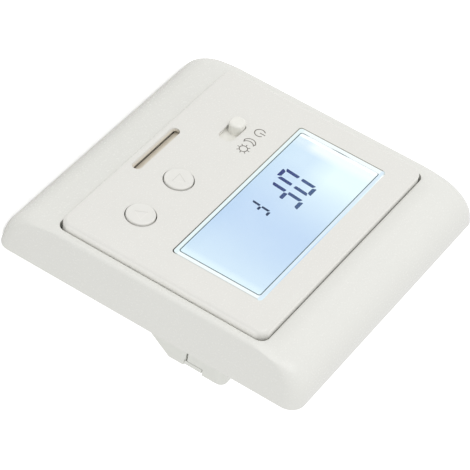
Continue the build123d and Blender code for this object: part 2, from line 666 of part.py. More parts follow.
def board_screws():
    """Screws from behind the display board into the panel's posts."""
    screws = []
    for place in POSTS:
        head = disc(BOARD_SCREW_HEAD_R, BOARD_BACK - BOARD_SCREW_HEAD, BOARD_BACK, place)
        screws.append(head + disc(BOARD_SCREW_R, BOARD_BACK, BOARD_FRONT + BOARD_SCREW_BITE, place))
    return group(screws)


def controller_chip():
    """Square controller on the back of the display board."""
    here = (0.0, DISPLAY_Y - CHIP_SIDE / 2)
    chip = slab(CHIP_SIDE, CHIP_SIDE, BOARD_BACK - CHIP_HEIGHT, BOARD_BACK, at=here)
    return chamfer(chip.faces().sort_by(Axis.Z)[0].edges(), 0.2)


def room_sensor():
    """Bead that feels the room's air, on the front of the display board near its lower left corner."""
    x = PANEL_X - POST_X + 2 * POST_R
    bead = Pos(x, -POST_Y, BOARD_FRONT + SENSOR_R) * Rot(0, 90, 0) * Cylinder(SENSOR_R, SENSOR_LENGTH)
    return fillet(bead.edges(), SENSOR_R / 2)


# The mounting plate and the housing in the wall


def mounting_plate():
    """Base plate on the wall: slotted screw holes, a window to the housing, hook slots and press pads."""
    plate = slab(PLATE_SIDE, PLATE_SIDE, 0, PLATE_THICKNESS, PANEL_CORNER_R)
    for side in (-1, 1):
        place = (side * WALL_SCREW_SPACING / 2, 0)
        plate -= pill(WALL_SLOT_LENGTH, WALL_SLOT_WIDTH, 0, PLATE_THICKNESS, place)
    window_width = HOUSING_INNER_WIDTH - 2 * PLATE_WINDOW_RIM
    window_height = HOUSING_INNER_HEIGHT - 2 * PLATE_WINDOW_RIM
    plate -= slab(window_width, window_height, 0, PLATE_THICKNESS, 1.0, (0.0, HOUSING_MIDDLE_Y))
    for place in COLUMNS:
        plate -= disc(HOUSING_SCREW_R + HEAD_FIT, 0, PLATE_THICKNESS, place)
        plate -= disc(HOUSING_SCREW_HEAD_R + HEAD_FIT, PLATE_THICKNESS - HEAD_SINK, PLATE_THICKNESS, place)
    pad_dy = HOUSING_INNER_HEIGHT / 2 - PRESS_PAD[1]
    for side in (-1, 1):
        place = (0.0, HOUSING_MIDDLE_Y + side * pad_dy)
        plate += slab(*PRESS_PAD, POWER_BOARD_FRONT, 0, at=place)
    return plate - plate_hook_slots() - plate_lug_rebates()


def plate_hook_slots():
    """Windows for the catch leg and the panel's fixed hooks, with the relief behind each ledge."""
    half = CATCH_LEG_WIDTH / 2 + CATCH_SIDE_FIT
    xs = (CATCH_X - half, CATCH_X + half)
    ledge_y = LEG_LOW - CATCH_FIT
    relief = ledge_y - HOOK_BITE - CATCH_SIDE_FIT
    cuts = block(*xs, ledge_y, LEG_HIGH + CATCH_TRAVEL + CATCH_SIDE_FIT, 0, PLATE_THICKNESS)
    cuts += block(*xs, relief, ledge_y, 0, PLATE_THICKNESS - LEDGE)
    top = PANEL_HEIGHT / 2
    for x in hook_xs():
        xs = (x - half, x + half)
        cuts += block(*xs, top - PANEL_SKIRT - CATCH_SIDE_FIT, top + CATCH_FIT, 0, PLATE_THICKNESS)
        cuts += block(*xs, top, top + HOOK_BITE + CATCH_SIDE_FIT, 0, PLATE_THICKNESS - LEDGE)
    return cuts


def plate_lug_rebates():
    """Rebates behind the plate's edges that the frame's lugs snap into."""
    half = LUG_LENGTH / 2 + CATCH_SIDE_FIT
    edge = PLATE_SIDE / 2
    rebate = block(edge - LUG_BITE - CATCH_SIDE_FIT, edge, -half, half, 0, LUG_HEIGHT + CATCH_FIT)
    return [Rot(0, 0, turn) * rebate for turn in (0, 90, 180, 270)]


def housing_outline():
    """Side view of the rear housing: a deep box above, a slope, and the shallow bay for the terminals."""
    points = [
        (HOUSING_TOP, 0),
        (HOUSING_TOP, -HOUSING_DEPTH),
        (-SLOPE_START, -HOUSING_DEPTH),
        (-SLOPE_END, -BAY_DEPTH),
        (-SLOPE_END, BAY_FLOOR_BACK),
        (-HOUSING_BOTTOM, BAY_FLOOR_BACK),
        (-HOUSING_BOTTOM, 0),
    ]
    return Plane.YZ * make_face(Polyline(points, close=True))


def rear_housing():
    """Box that goes into the wall, open to the front, with screw columns and an open terminal bay."""
    outline = housing_outline()
    box = extrude(outline, HOUSING_WIDTH / 2, both=True)
    cheek = (-HOUSING_BOTTOM, -SLOPE_END, -BAY_DEPTH, BAY_FLOOR_BACK)
    for side in (-1, 1):
        xs = sorted(side * d for d in (HOUSING_WIDTH / 2 - HOUSING_WALL, HOUSING_WIDTH / 2))
        box += block(*xs, *cheek)
    middle = (0.0, HOUSING_MIDDLE_Y)
    box &= slab(HOUSING_WIDTH, HOUSING_HEIGHT, -HOUSING_DEPTH, 0, HOUSING_CORNER_R, middle)
    inside = offset(outline, -HOUSING_WALL, kind=Kind.INTERSECTION)
    box -= extrude(inside, HOUSING_INNER_WIDTH / 2, both=True)
    box -= slab(HOUSING_INNER_WIDTH, HOUSING_INNER_HEIGHT, POWER_BOARD_BACK, 0, at=middle)
    inner_x = HOUSING_INNER_WIDTH / 2
    box -= block(-inner_x, inner_x, *cover_span(0), -HOUSING_DEPTH, COVER_FRONT + HOUSING_WALL)
    for place in COLUMNS:
        low = POWER_BOARD_BACK if place[1] < HOUSING_MIDDLE_Y else -COLUMN_LENGTH
        box += housing_column(place, low)
    for x in (-HOUSING_INNER_WIDTH / 4, HOUSING_INNER_WIDTH / 4):
        top = HOUSING_TOP - HOUSING_WALL / 2
        rib_y = (HOUSING_TOP - HOUSING_WALL - SUPPORT_RIB, top)
        box += block(x - SUPPORT_RIB / 2, x + SUPPORT_RIB / 2, *rib_y, -COLUMN_LENGTH, POWER_BOARD_BACK)
    opening = (TERMINAL_WIDTH + 2 * TERMINAL_FIT, TERMINAL_HEIGHT + 2 * TERMINAL_FIT)
    box -= slab(*opening, BAY_FLOOR_BACK, POWER_BOARD_BACK, at=(0.0, TERMINAL_Y))
    notch_y = TAB_WIDTH / 2 + TAB_GAP
    notch_top = COVER_FRONT + TAB_GAP
    notch = (TAB_CENTRE - notch_y, TAB_CENTRE + notch_y, -HOUSING_DEPTH, notch_top)
    slit_y = TAB_CENTRE - notch_y + TONGUE_INSET
    slit = (slit_y, slit_y + TONGUE_SLIT, COVER_FRONT, notch_top + TONGUE_LENGTH)
    xs = (-HOUSING_WIDTH / 2, HOUSING_WIDTH / 2)
    return box - block(*xs, *notch) - block(*xs, *slit)


def cover_span(fit):
    """Lower and upper edges of the opening in the back of the housing, less a fit."""
    return -SLOPE_START + HOUSING_WALL + fit, HOUSING_TOP - HOUSING_WALL - fit


def housing_column(place, low):
    """Screw column in a corner of the housing, grown into both walls, bored for its screw."""
    x, y = place
    corner_x = (HOUSING_WIDTH - HOUSING_WALL) / 2
    corner_y = HOUSING_MIDDLE_Y + (HOUSING_HEIGHT - HOUSING_WALL) / 2 * (1 if y > HOUSING_MIDDLE_Y else -1)
    sign = 1 if x > 0 else -1
    column = disc(COLUMN_R, low, 0, place)
    column += block(*sorted((x, sign * corner_x)), y - COLUMN_R, y + COLUMN_R, low, 0)
    column += block(x - COLUMN_R, x + COLUMN_R, *sorted((y, corner_y)), low, 0)
    return column - disc(HOUSING_SCREW_R + SCREW_FIT, low, 0, place)


def rear_cover():
    """Lid over the deep part of the housing, with a tab in a notch on each side."""
    half = HOUSING_INNER_WIDTH / 2 - COVER_FIT
    lid = block(-half, half, *cover_span(COVER_FIT), COVER_BACK, COVER_FRONT)
    tab = (TAB_CENTRE - TAB_WIDTH / 2, TAB_CENTRE + TAB_WIDTH / 2, COVER_BACK, COVER_FRONT)
    return lid + block(-HOUSING_WIDTH / 2, HOUSING_WIDTH / 2, *tab)


def housing_screws():
    """Screws through the mounting plate into the housing's columns."""
    head_low = PLATE_THICKNESS - HEAD_SINK
    screws = []
    for place in COLUMNS:
        bite = min(HOUSING_SCREW_BITE, -POWER_BOARD_BACK - SCREW_TIP_ROOM)
        head = disc(HOUSING_SCREW_HEAD_R, head_low, head_low + HOUSING_SCREW_HEAD, place)
        screws.append(head + disc(HOUSING_SCREW_R, -bite, head_low, place))
    return group(screws)


# The power board and what stands on it


def power_board():
    """Rear circuit board with its corners notched round the screw columns."""
    fit = 2 * POWER_BOARD_FIT
    middle = (0.0, HOUSING_MIDDLE_Y)
    size = (HOUSING_INNER_WIDTH - fit, HOUSING_INNER_HEIGHT - fit)
    board = slab(*size, POWER_BOARD_BACK, POWER_BOARD_FRONT, at=middle)
    reach = COLUMN_R + POWER_BOARD_FIT
    for x, y in COLUMNS:
        board -= slab(2 * reach, 2 * reach, POWER_BOARD_BACK, POWER_BOARD_FRONT, at=(x, y))
    return board


def pin_xs():
    return [(i - (HEADER_PINS - 1) / 2) * HEADER_PITCH for i in range(HEADER_PINS)]


def board_header():
    """Row of pins that stands on the power board."""
    length = HEADER_PINS * HEADER_PITCH
    header = slab(length, HEADER_WIDTH, POWER_BOARD_FRONT, HEADER_FACE, at=(0.0, HEADER_Y))
    for x in pin_xs():
        header += slab(PIN_SIDE, PIN_SIDE, POWER_BOARD_FRONT, HEADER_FACE + PIN_REACH, at=(x, HEADER_Y))
    return header


def board_socket():
    """Socket on the back of the display board that takes the pins."""
    here = (0.0, HEADER_Y)
    length = HEADER_PINS * HEADER_PITCH
    socket = slab(length, HEADER_WIDTH, HEADER_FACE, BOARD_BACK, at=here)
    room = PIN_SIDE + 2 * GLASS_FIT
    slot_top = HEADER_FACE + PIN_REACH + GLASS_FIT
    return socket - slab(length - HEADER_PITCH + room, room, HEADER_FACE, slot_top, at=here)


def hanging(size, centre, radius=0.0):
    """A boxed component on the back of the power board."""
    width, height, depth = size
    return slab(width, height, POWER_BOARD_BACK - depth, POWER_BOARD_BACK, radius, centre)


def relay():
    """Sealed power relay."""
    case = hanging(RELAY_SIZE, RELAY_CENTRE)
    return fillet(case.faces().sort_by(Axis.Z)[0].edges(), 0.5)


def film_capacitor():
    case = hanging(FILM_CAPACITOR_SIZE, FILM_CAPACITOR_CENTRE)
    return fillet(case.faces().sort_by(Axis.Z)[0].edges(), 0.6)


def smoothing_capacitor():
    """Round can with the rolled groove near its foot."""
    low = POWER_BOARD_BACK - CAN_HEIGHT
    can = disc(CAN_R, low, POWER_BOARD_BACK, CAN_CENTRE)
    can = fillet(can.faces().sort_by(Axis.Z)[0].edges(), CAN_R / 8)
    groove = Pos(*CAN_CENTRE, POWER_BOARD_BACK - CAN_HEIGHT / 6) * Torus(CAN_R, CAN_R / 10)
    return can - groove


def varistor():
    """Upright coated disc, standing on a flat foot."""
    x, y = VARISTOR_CENTRE
    z = POWER_BOARD_BACK - VARISTOR_R
    coin = Pos(x, y, z) * Rot(90, 0, 0) * Cylinder(VARISTOR_R, VARISTOR_THICKNESS)
    coin = fillet(coin.edges(), VARISTOR_THICKNESS / 4)
    foot = hanging((VARISTOR_R, VARISTOR_THICKNESS / 2, VARISTOR_R), VARISTOR_CENTRE)
    return coin + foot


def fuse():
    """Round radial fuse."""
    body = disc(FUSE_R, POWER_BOARD_BACK - FUSE_HEIGHT, POWER_BOARD_BACK, FUSE_CENTRE)
    return fillet(body.faces().sort_by(Axis.Z)[0].edges(), FUSE_R / 8)


def terminal_block():
    """Row of screw terminals: wires enter from below and the screws are turned from behind."""
    body = slab(TERMINAL_WIDTH, TERMINAL_HEIGHT, TERMINAL_BACK, POWER_BOARD_BACK, at=(0.0, TERMINAL_Y))
    body = chamfer(body.faces().sort_by(Axis.Z)[0].edges().filter_by(Axis.X), TERMINAL_WALL / 2)
    room_x = CLAMP_WIDTH / 2 + CLAMP_FIT
    room_y = CLAMP_LENGTH / 2 + CLAMP_FIT
    room_z = CLAMP_DEPTH / 2 + CLAMP_FIT
    wide, deep = WIRE_ENTRY
    for x in TERMINAL_XS:
        room = slab(2 * room_x, 2 * room_y, CLAMP_Z - room_z, CLAMP_Z + room_z, at=(x, CLAMP_Y))
        entry_zs = (CLAMP_Z - deep / 2, CLAMP_Z + deep / 2)
        body -= room + block(x - wide / 2, x + wide / 2, TERMINAL_LOW, CLAMP_Y, *entry_zs)
        body -= disc(TERMINAL_SCREW_HEAD_R + CLAMP_FIT, TERMINAL_BACK, CLAMP_Z, (x, CLAMP_Y))
    return body


def terminal_clamps():
    """Brass cages in the terminal block, open along the wire and drilled for the screw."""
    cages = []
    inner_x = CLAMP_WIDTH - 2 * CLAMP_WALL
    inner_z = CLAMP_DEPTH / 2 - CLAMP_WALL
    for x in TERMINAL_XS:
        cage_zs = (CLAMP_Z - CLAMP_DEPTH / 2, CLAMP_Z + CLAMP_DEPTH / 2)
        cage = slab(CLAMP_WIDTH, CLAMP_LENGTH, *cage_zs, at=(x, CLAMP_Y))
        cage -= slab(inner_x, CLAMP_LENGTH, CLAMP_Z - inner_z, CLAMP_Z + inner_z, at=(x, CLAMP_Y))
        cage -= disc(TERMINAL_SCREW_R + SCREW_FIT, CLAMP_Z - CLAMP_DEPTH / 2, CLAMP_Z, (x, CLAMP_Y))
        cages.append(cage)
    return group(cages)


def terminal_screws():
    """Slotted clamp screws."""
    screws = []
    head_low = TERMINAL_BACK + TERMINAL_SCREW_SINK
    head_high = head_low + TERMINAL_SCREW_HEAD
    tip = CLAMP_Z - CLAMP_DEPTH / 2 + 2 * CLAMP_WALL
    for x in TERMINAL_XS:
        here = (x, CLAMP_Y)
        screw = disc(TERMINAL_SCREW_HEAD_R, head_low, head_high, here)
        screw += disc(TERMINAL_SCREW_R, head_high, tip, here)
        slot_high = head_low + TERMINAL_SCREW_HEAD / 2
        slot = slab(2 * TERMINAL_SCREW_HEAD_R, TERMINAL_SCREW_HEAD / 3, head_low, slot_high, at=here)
        screws.append(screw - slot)
    return group(screws)


PIECES = {
    "outer_frame": outer_frame(),
    "front_panel": front_panel(),
    "display_window": display_window(),
    "mode_slider": mode_slider(),
    "slide_switch_shell": slide_switch_shell(),
    "slide_switch_lever": slide_switch_lever(),
    "cover_catch": cover_catch(),
    "lcd_front_glass": lcd_front_glass(),
    "lcd_rear_glass": lcd_rear_glass(),
    "backlight_guide": backlight_guide(),
    "backlight_leds": backlight_leds(),
    "contact_strip": contact_strip(),
    "lcd_holder": lcd_holder(),
    "display_board": display_board(),
    "board_screws": board_screws(),
    "controller_chip": controller_chip(),
    "room_sensor": room_sensor(),
    "mounting_plate": mounting_plate(),
    "rear_housing": rear_housing(),
    "rear_cover": rear_cover(),
    "housing_screws": housing_screws(),
    "power_board": power_board(),
    "board_header": board_header(),
    "board_socket": board_socket(),
    "relay": relay(),
    "film_capacitor": film_capacitor(),
    "smoothing_capacitor": smoothing_capacitor(),
    "varistor": varistor(),
    "fuse": fuse(),
    "terminal_block": terminal_block(),
    "terminal_clamps": terminal_clamps(),
    "terminal_screws": terminal_screws(),
}
for key_name, key_place in key_places().items():
    PIECES[f"{key_name}_button"] = key_cap(key_place)
    PIECES[f"{key_name}_key_switch"] = key_switch(key_place)
    PIECES[f"{key_name}_key_plunger"] = key_plunger(key_place)

os.makedirs("parts", exist_ok=True)
upright = Plane.XZ.location
for name, piece in PIECES.items():
    export_step(upright * piece, f"parts/{name}.step")
print(f"{len(PIECES)} pieces, frame {2 * FRAME_HALF:.1f} mm square, {PANEL_FACE + HOUSING_DEPTH:.1f} mm deep")
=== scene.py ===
# %% [markdown]
# # A wall thermostat, from bare solids to a finished picture
# The shapes of this thermostat were drawn in a CAD program, one solid for each moulding, board and screw.
# In this lesson we load them, leave every one of them where it is, and give each its real surface.
# We could rebuild the shapes here as well, but then two models would drift apart, so Blender only adds looks.

# %% Load the solids
import json
import math

import bmesh
import bpy
from mathutils import Matrix, Vector

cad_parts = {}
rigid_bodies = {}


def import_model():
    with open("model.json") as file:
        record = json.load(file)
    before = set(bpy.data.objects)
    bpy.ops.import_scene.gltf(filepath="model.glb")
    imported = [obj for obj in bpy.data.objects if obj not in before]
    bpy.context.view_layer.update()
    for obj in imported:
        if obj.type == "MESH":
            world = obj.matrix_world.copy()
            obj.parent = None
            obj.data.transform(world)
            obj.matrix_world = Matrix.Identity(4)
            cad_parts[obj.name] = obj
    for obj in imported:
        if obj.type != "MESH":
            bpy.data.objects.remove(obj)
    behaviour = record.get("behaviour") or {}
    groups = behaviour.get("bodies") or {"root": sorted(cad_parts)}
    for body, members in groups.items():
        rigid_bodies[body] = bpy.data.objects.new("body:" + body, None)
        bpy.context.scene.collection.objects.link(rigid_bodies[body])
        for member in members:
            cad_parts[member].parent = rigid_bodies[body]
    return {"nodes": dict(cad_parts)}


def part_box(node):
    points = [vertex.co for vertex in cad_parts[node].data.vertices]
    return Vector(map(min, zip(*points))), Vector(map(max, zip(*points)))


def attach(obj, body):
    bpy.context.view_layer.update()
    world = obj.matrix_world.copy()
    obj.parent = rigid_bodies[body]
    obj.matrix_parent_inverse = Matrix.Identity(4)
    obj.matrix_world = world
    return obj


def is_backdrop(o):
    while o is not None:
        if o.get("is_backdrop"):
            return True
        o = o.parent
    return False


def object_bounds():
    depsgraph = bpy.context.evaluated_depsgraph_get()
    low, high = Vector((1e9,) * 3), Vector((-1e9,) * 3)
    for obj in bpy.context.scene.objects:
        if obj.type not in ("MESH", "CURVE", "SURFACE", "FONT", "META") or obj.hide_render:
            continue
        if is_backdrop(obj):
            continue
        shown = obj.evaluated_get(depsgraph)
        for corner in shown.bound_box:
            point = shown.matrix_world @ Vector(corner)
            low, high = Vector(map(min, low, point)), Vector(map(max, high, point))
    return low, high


for spare in list(bpy.data.objects):
    bpy.data.objects.remove(spare)
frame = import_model()
nodes = frame["nodes"]
cad_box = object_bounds()
MM = 0.001


def sides(box):
    """How long the three sides of a box are, in millimetres."""
    return [round((high - low) / MM, 2) for low, high in zip(*box)]


print(len(nodes), "solids in a box of", sides(cad_box), "mm")

# %% [markdown]
# ## The camera
# The picture was taken with the thermostat lying on its back, so its top points to the lower right.
# Our model stands upright as it does on a wall, and the camera takes the turn instead.
# We could turn it by three angles and hope. It is surer to write down where the camera stands,
# which way it looks and which way is up in the picture, and build its matrix from those three.

# %% Place the camera
stand = Vector((0.39699, -0.41874, 0.19177))
look = Vector((-0.65045, 0.69056, -0.31628)).normalized()
picture_up = Vector((-0.53178, -0.71136, -0.45954))
picture_right = look.cross(picture_up).normalized()
picture_up = picture_right.cross(look)
camera = bpy.data.objects.new("camera", bpy.data.cameras.new("camera"))
bpy.context.scene.collection.objects.link(camera)
axes = Matrix((picture_right, picture_up, -look)).transposed()
camera.matrix_world = Matrix.Translation(stand) @ axes.to_4x4()
camera.data.sensor_width = 36
camera.data.lens = 190.13
camera.data.clip_start = 0.01
bpy.context.scene.camera = camera
print("camera", round(stand.length, 3), "m from the wall plate's centre, lens", camera.data.lens, "mm")

# %% [markdown]
# ## Node sums in plain Python
# A finish is a small sum: a colour, a little noise, a mask. Wiring it by hand takes many lines for one
# subtraction. So one class wraps a socket, and Python's own signs add the Math nodes: `1 - mask` just works.
# Every other node comes from its one method `add`, which sets the node's settings before its sockets.


# %% Wrap a socket
class Wire:
    """An output socket of a node tree that takes part in Python expressions."""

    def __init__(self, tree, socket=None):
        self.tree = tree
        self.socket = socket

    def add(self, kind, settings=None, sockets=None, out=0):
        """One node: its settings, then the values or links of its sockets. Gives the socket named by out."""
        node = self.tree.nodes.new("ShaderNode" + kind)
        for name, value in (settings or {}).items():
            setattr(node, name, value)
        for name, value in (sockets or {}).items():
            if isinstance(value, Wire):
                self.tree.links.new(value.socket, node.inputs[name])
            else:
                node.inputs[name].default_value = value
        return Wire(self.tree, node.outputs[out] if node.outputs else None)

    def math(self, operation, *values):
        """A Math node on wires and numbers."""
        return self.add("Math", {"operation": operation}, dict(enumerate(values)))

    def __add__(self, other):
        return self.math("ADD", self, other)

    def __sub__(self, other):
        return self.math("SUBTRACT", self, other)

    def __rsub__(self, other):
        return self.math("SUBTRACT", other, self)

    def __mul__(self, other):
        return self.math("MULTIPLY", self, other)

    def __truediv__(self, other):
        return self.math("DIVIDE", self, other)

    def __rtruediv__(self, other):
        return self.math("DIVIDE", other, self)

    def __pow__(self, other):
        return self.math("POWER", self, other)

    def __rpow__(self, other):
        return self.math("POWER", other, self)

    def __abs__(self):
        return self.math("ABSOLUTE", self)

    __radd__ = __add__
    __rmul__ = __mul__


print("numbers may stand first for", [name for name in vars(Wire) if name.startswith("__r")])

# %% [markdown]
# ## Five steps that the finishes share
# A finish ends in one shader, mixes colours, holds masks between 0 and 1 and asks where a point lies.
# We could write those nodes out each time, but named steps read better and are put right in one place.
# Colours are written as they look in a picture, from 0 to 255, and one step turns them into linear numbers.


# %% Start a finish
def finish(name, make):
    """A material whose surface is the shader that make gives back."""
    material = bpy.data.materials.new(name)
    material.use_nodes = True
    material.node_tree.nodes.clear()
    tree = Wire(material.node_tree)
    tree.add("OutputMaterial", sockets={"Surface": make(tree)})
    return material


def shade(share, low, high):
    """A colour between two colours."""
    return share.add("Mix", {"data_type": "RGBA"}, {0: share, 6: low, 7: high}, out=2)


def clamp(value):
    """A value held between 0 and 1."""
    return value.add("Clamp", sockets={0: value})


def axes_in_mm(tree):
    """Millimetres to the right, into the wall and up, from the object's own coordinates."""
    place = tree.add("TexCoord", out="Object")
    return [tree.add("SeparateXYZ", sockets={0: place}, out=i) / MM for i in range(3)]


def colour(red, green, blue):
    """A colour as it looks in a picture, from 0 to 255, in the linear form that shaders use."""
    parts = [c / 255 for c in (red, green, blue)]
    return tuple(c / 12.92 if c <= 0.04045 else ((c + 0.055) / 1.055) ** 2.4 for c in parts) + (1.0,)


print("ivory is", [round(c, 3) for c in colour(233, 232, 227)])

# %% [markdown]
# ## Light
# The light in the picture is very even: soft from all round, with a little more from in front and above.
# We could build it from many lamps. A white world gives the first part and one large lamp the second, and
# two are easier to balance. A weak lamp behind keeps the wall box from going grey.
# Their sum on the front panel is about 1, so a colour renders as it is written.


# %% Light the set
def in_sight(tree):
    """1 for rays that show a surface, straight, mirrored or through glass, and 0 for rays that only light."""
    straight, mirrored, through = (
        tree.add("LightPath", out=f"Is {kind} Ray") for kind in ("Camera", "Glossy", "Transmission")
    )
    return clamp(straight + mirrored + through)


WHITE = (1.0, 1.0, 1.0, 1.0)
WORLD_LIGHT = 0.83
world = bpy.data.worlds.new("studio")
bpy.context.scene.world = world
world.use_nodes = True
world.node_tree.nodes.clear()
sky = Wire(world.node_tree)
strength = WORLD_LIGHT + in_sight(sky) * (1 - WORLD_LIGHT)
backdrop = sky.add("Background", sockets={"Color": WHITE, "Strength": strength})
sky.add("OutputWorld", sockets={"Surface": backdrop})

LAMP_SIZE = 1.1
LAMP_DISTANCE = 1.2


def soft_lamp(name, toward, watts):
    """A large disk lamp that looks at the thermostat from the direction given."""
    lamp = bpy.data.objects.new(name, bpy.data.lights.new(name, "AREA"))
    bpy.context.scene.collection.objects.link(lamp)
    toward = Vector(toward).normalized()
    lamp.data.shape = "DISK"
    lamp.data.size = LAMP_SIZE
    lamp.data.energy = watts
    turn = toward.to_track_quat("Z", "Y").to_matrix().to_4x4()
    lamp.matrix_world = Matrix.Translation(toward * LAMP_DISTANCE) @ turn
    return lamp


lamps = [
    soft_lamp("key_lamp", (-0.05, -0.96, 0.28), 3.65),
    soft_lamp("fill_lamp", (0.62, 0.78, 0.05), 1.65),
]
bpy.context.scene.view_settings.view_transform = "Standard"
print("lamps of", [round(lamp.data.energy, 2) for lamp in lamps], "W at", LAMP_DISTANCE, "m")

# %% [markdown]
# ## Floor
# The floor is white paper that still takes the thermostat's shadow. We could light it until it is white, but
# then the thermostat would get too much light as well. So where the paper is seen, straight or mirrored,
# a little light of its own lifts it to white, and that light falls on nothing else.

# %% Lay the floor
FLOOR_GAP = 0.0002
FLOOR_REACH = 6.0
LIFT_MIRRORED = 0.2
LIFT_STRAIGHT = 0.4


def white_paper(tree):
    """Paper that shows as white and takes shadows."""
    paper = tree.add("BsdfDiffuse", sockets={"Color": (0.9, 0.9, 0.9, 1)})
    straight = tree.add("LightPath", out="Is Camera Ray")
    own_light = LIFT_MIRRORED + straight * LIFT_STRAIGHT
    lift = tree.add("Emission", sockets={"Color": WHITE, "Strength": own_light})
    lifted = tree.add("AddShader", sockets={0: paper, 1: lift})
    return tree.add("MixShader", sockets={0: in_sight(tree), 1: paper, 2: lifted})


ground = bpy.data.meshes.new("floor")
level = cad_box[0].z - FLOOR_GAP
corners = [(x * FLOOR_REACH, y * FLOOR_REACH, level) for x, y in ((-1, -1), (1, -1), (1, 1), (-1, 1))]
ground.from_pydata(corners, [], [(0, 1, 2, 3)])
floor = bpy.data.objects.new("floor", ground)
bpy.context.scene.collection.objects.link(floor)
ground.materials.append(finish("white_paper", white_paper))
floor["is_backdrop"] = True
print("floor at", round(level / MM, 1), "mm")

# %% [markdown]
# ## Moulded ivory plastic
# Frame, panel and keys are injection-moulded. The steel mould is eroded to a fine satin grain, so the surface
# is neither flat nor shiny, and no large patch has exactly one tone. We could use a picture of such a grain.
# Noise in the object's own coordinates needs no picture and no unwrapping, and its scale is a real one.


# %% Make a moulded plastic
def moulded(tone, rough, grain, coat=0.0, mottle=0.025, painted_light_and_shade=None):
    """A satin moulding: faint clouds in its tone and an eroded grain, whose depth is given in metres."""
    darker = tuple(c * (1 - mottle) for c in tone[:3]) + (1.0,)

    def make(tree):
        place = tree.add("TexCoord", out="Object")
        cloud = tree.add("TexNoise", sockets={"Vector": place, "Scale": 70.0, "Detail": 3.0})
        grains = tree.add("TexNoise", sockets={"Vector": place, "Scale": 2400.0, "Detail": 2.0})
        bump = tree.add("Bump", sockets={"Strength": 0.25, "Distance": grain, "Height": grains})
        clouded = shade(cloud, darker, tone)
        # painted light and shade, where a function for it is given, goes over the clouded tone
        sockets = {"Base Color": painted_light_and_shade(tree, clouded) if painted_light_and_shade else clouded, "Normal": bump}
        sockets |= {"Roughness": rough + (grains - 0.5) * 0.12, "Coat Weight": coat}
        return tree.add("BsdfPrincipled", sockets=sockets)

    return make


def dress(material, *names):
    """Gives CAD nodes their finish."""
    for name in names:
        nodes[name].data.materials.clear()
        nodes[name].data.materials.append(material)


key_finish = finish("key_plastic", moulded(colour(233, 232, 227), 0.32, grain=0.00002))
dress(key_finish, "up_button", "down_button")
knob_finish = finish("knob_plastic", moulded(colour(238, 237, 230), 0.25, grain=0.00001, coat=0.3))
dress(knob_finish, "mode_slider")
base_finish = finish("base_plastic", moulded(colour(233, 234, 228), 0.42, grain=0.00004))
dress(base_finish, "mounting_plate", "rear_housing", "rear_cover")
print("plain mouldings:", [made.name for made in (key_finish, knob_finish, base_finish)])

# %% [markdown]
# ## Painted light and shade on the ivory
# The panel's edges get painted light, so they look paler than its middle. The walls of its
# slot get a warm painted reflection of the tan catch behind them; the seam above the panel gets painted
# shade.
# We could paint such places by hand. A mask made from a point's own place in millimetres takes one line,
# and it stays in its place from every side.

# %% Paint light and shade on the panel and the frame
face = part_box("front_panel")[0].y
PANEL_MIDDLE = 0.775
EDGE_ACROSS = 36.6
EDGE_UP = 28.8
EDGE_WIDTH = 0.32
SLOT_ACROSS, SLOT_UP = 1.7, -25.5
SLOT_HALF_WIDTH, SLOT_HALF_HEIGHT = 11.5, 3.0
SEAM = 29.4
SEAM_END = 38.0


def panel_painted_light(tree, tone):
    """Painted light at the edges, so they look paler, and a warm painted reflection of the tan catch on its
    slot's walls.
    """
    x, y, z = axes_in_mm(tree)
    past_edge = tree.math("MAXIMUM", abs(x - PANEL_MIDDLE) - EDGE_ACROSS, abs(z) - EDGE_UP)
    # painted light: paler towards the panel's edges
    pale = shade(clamp(past_edge / EDGE_WIDTH), tone, colour(248, 247, 242))
    # painted reflection: the slot's deeper walls take a warm tone from the tan catch
    deep = clamp((y - face / MM) * 2.6 - 0.5)
    near = clamp(SLOT_HALF_WIDTH - abs(x - SLOT_ACROSS)) * clamp(SLOT_HALF_HEIGHT - abs(z - SLOT_UP))
    return shade(deep * near, pale, colour(228, 221, 207))


def frame_painted_shade(tree, tone):
    """Painted shade in the seam above the panel, which thins out over a few millimetres."""
    x, _, z = axes_in_mm(tree)
    above = z - SEAM
    # painted shade: darkest at the seam, fading over a few millimetres above it
    painted_seam_shade = clamp(1 - above / 4.0) * 0.3 + clamp(1 - above / 0.6) * 0.5
    along = clamp((SEAM_END - abs(x - PANEL_MIDDLE)) / 6.0)
    return shade(painted_seam_shade * clamp(above * 5.0 + 1.0) * along, tone, colour(200, 200, 195))


panel_finish = finish("panel_plastic", moulded(colour(231, 230, 225), 0.26, grain=0.00002, painted_light_and_shade=panel_painted_light))
dress(panel_finish, "front_panel")
frame_finish = finish("frame_plastic", moulded(colour(232, 232, 227), 0.26, grain=0.00002, painted_light_and_shade=frame_painted_shade))
dress(frame_finish, "outer_frame")
print("panel face at", round(face / MM, 2), "mm")

# %% [markdown]
# ## Flat signs
# The signs beside the switch and on the keys are prints and shallow engravings, far thinner than paper.
# We could paint them with shader masks, but a thin line needs a sharp edge at any distance.
# So each is a flat ribbon of mesh laid on the surface: a list of points, a width, and one short function.


# %% Make ribbons and flat plates
def ribbon(points, width, closed=False):
    """Four-sided pieces of a line of even width through points, in millimetres across and up."""
    count = len(points)
    left, right = [], []
    for i, (x, z) in enumerate(points):
        ahead = points[(i + 1) % count] if closed or i + 1 < count else points[i]
        behind = points[i - 1] if closed or i else points[i]
        run = [Vector((ahead[0] - x, ahead[1] - z)), Vector((x - behind[0], z - behind[1]))]
        run = [r.normalized() for r in run if r.length > 0]
        along = sum(run, Vector((0, 0))).normalized()
        side = Vector((-along.y, along.x)) * (width / 2 / max(along.dot(run[0]), 0.5))
        left.append((x + side.x, z + side.y))
        right.append((x - side.x, z - side.y))
    last = count if closed else count - 1
    return [(right[i], right[(i + 1) % count], left[(i + 1) % count], left[i]) for i in range(last)]


